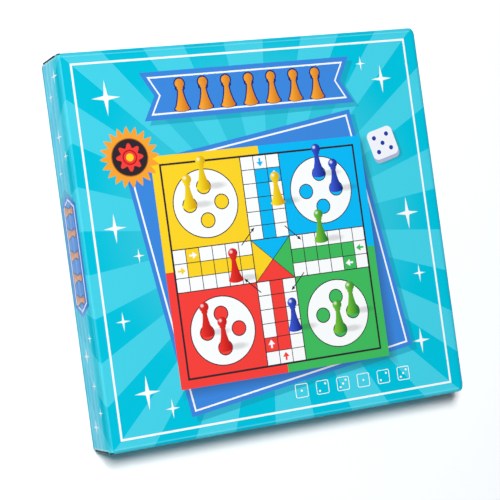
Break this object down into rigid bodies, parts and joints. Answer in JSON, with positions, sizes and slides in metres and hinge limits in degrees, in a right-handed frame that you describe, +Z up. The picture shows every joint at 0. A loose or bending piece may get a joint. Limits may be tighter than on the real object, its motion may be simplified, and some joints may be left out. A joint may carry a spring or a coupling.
{
  "type": "folding ludo board box",
  "caption": "Flat square corrugated-card game case with roll-over side walls and a lid that folds on its spine and tucks in, holding a folded board, pawns and a die.",
  "frame": {"origin": "middle of the face that the closed case rests on", "axes": "+Z up out of the lid, -X towards the spine that the lid folds on, +Y towards the head of the cover"},
  "size_m": [0.27, 0.266, 0.04],
  "materials": {
    "printed_card": "satin litho print on thin corrugated card",
    "raw_card": "bare brown liner",
    "white_card": "bare white card",
    "white_paper": "uncoated paper",
    "board_print": "satin print laminated on greyboard",
    "cloth_tape": "woven bookbinding tape",
    "yellow_plastic": "glossy moulded",
    "blue_plastic": "glossy moulded",
    "green_plastic": "glossy moulded",
    "red_plastic": "glossy moulded",
    "white_plastic": "glossy moulded"
  },
  "bodies": {
    "tray": {"tray_floor": "raw_card", "spine_wall": "printed_card", "fore_wall": "printed_card", "head_wall_outer": "printed_card", "tail_wall_outer": "printed_card", "head_wall_rolled": "printed_card", "tail_wall_rolled": "printed_card", "spine_ear_head": "printed_card", "spine_ear_tail": "printed_card", "fore_ear_head": "printed_card", "fore_ear_tail": "printed_card", "board_leaf_1": "board_print", "board_leaf_2": "board_print", "board_leaf_3": "board_print", "board_leaf_4": "board_print", "board_hinge_1": "cloth_tape", "board_hinge_2": "cloth_tape", "board_hinge_3": "cloth_tape", "rules_leaflet": "white_paper", "insert_tray": "white_card", "pawn_yellow_1": "yellow_plastic", "pawn_yellow_2": "yellow_plastic", "pawn_yellow_3": "yellow_plastic", "pawn_yellow_4": "yellow_plastic", "pawn_blue_1": "blue_plastic", "pawn_blue_2": "blue_plastic", "pawn_blue_3": "blue_plastic", "pawn_blue_4": "blue_plastic", "pawn_green_1": "green_plastic", "pawn_green_2": "green_plastic", "pawn_green_3": "green_plastic", "pawn_green_4": "green_plastic", "pawn_red_1": "red_plastic", "pawn_red_2": "red_plastic", "pawn_red_3": "red_plastic", "pawn_red_4": "red_plastic", "die": "white_plastic"},
    "lid": {"lid_panel": "printed_card", "lid_spine_bend": "printed_card", "lid_fore_bend": "printed_card"},
    "flap": {"tuck_flap": "printed_card"},
    "ear_head": {"tuck_ear_head": "printed_card"},
    "ear_tail": {"tuck_ear_tail": "printed_card"}
  },
  "joints": [
    {"name": "lid_hinge", "type": "hinge", "parent": "tray", "child": "lid", "pos_m": [-0.135, 0, 0.04], "axis": [0, -1, 0], "range_deg": [0, 180]},
    {"name": "tuck_flap_fold", "type": "hinge", "parent": "lid", "child": "flap", "pos_m": [0.13299, 0, 0.03735], "axis": [0, -1, 0], "range_deg": [0, 54]},
    {"name": "tuck_ear_head_fold", "type": "hinge", "parent": "flap", "child": "ear_head", "pos_m": [0.12998, 0.1264, 0.02409], "axis": [-0.1045, 0, -0.9945], "range_deg": [0, 45]},
    {"name": "tuck_ear_tail_fold", "type": "hinge", "parent": "flap", "child": "ear_tail", "pos_m": [0.12998, -0.1264, 0.02409], "axis": [0.1045, 0, 0.9945], "range_deg": [0, 45]}
  ],
  "couplings": [
    {"joint": "tuck_flap_fold", "follows": "lid_hinge", "ratio": 0.3},
    {"joint": "tuck_ear_head_fold", "follows": "lid_hinge", "ratio": 0.25},
    {"joint": "tuck_ear_tail_fold", "follows": "lid_hinge", "ratio": 0.25}
  ]
}
